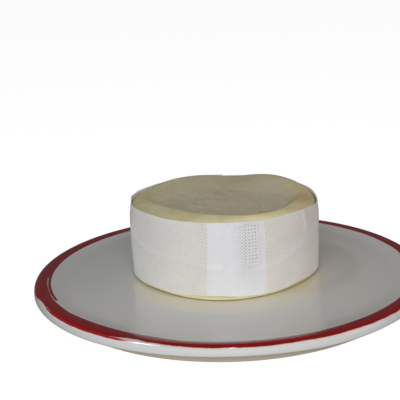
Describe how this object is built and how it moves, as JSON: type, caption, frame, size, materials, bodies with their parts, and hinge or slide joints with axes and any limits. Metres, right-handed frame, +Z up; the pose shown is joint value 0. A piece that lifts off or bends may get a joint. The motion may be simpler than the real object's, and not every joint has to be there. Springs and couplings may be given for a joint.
{
  "type": "banded cheese wheel on a plate",
  "caption": "Small soft-ripened cheese wheel with a sunken top and a perforated cloth band, standing on a round glazed plate with a low rim and a painted edge ring.",
  "frame": {"origin": "centre of the plate's foot ring, on the table", "axes": "+Z up out of the plate, -Y towards the band's lapped ends, +X to the right of a viewer who faces them"},
  "size_m": [0.265, 0.265, 0.0659],
  "materials": {
    "plate_glaze": "white glossy glaze with a brushed red ring under it at the rim, and a bare buff foot",
    "cheese_rind": "pale cream washed rind, soft and slightly moist, with a fine cloth imprint in the sunken top",
    "band_cloth": "white perforated non-woven cloth, slightly translucent"
  },
  "bodies": {
    "root": {"plate": "plate_glaze", "cheese_wheel": "cheese_rind", "cheese_band": "band_cloth"}
  },
  "joints": []
}
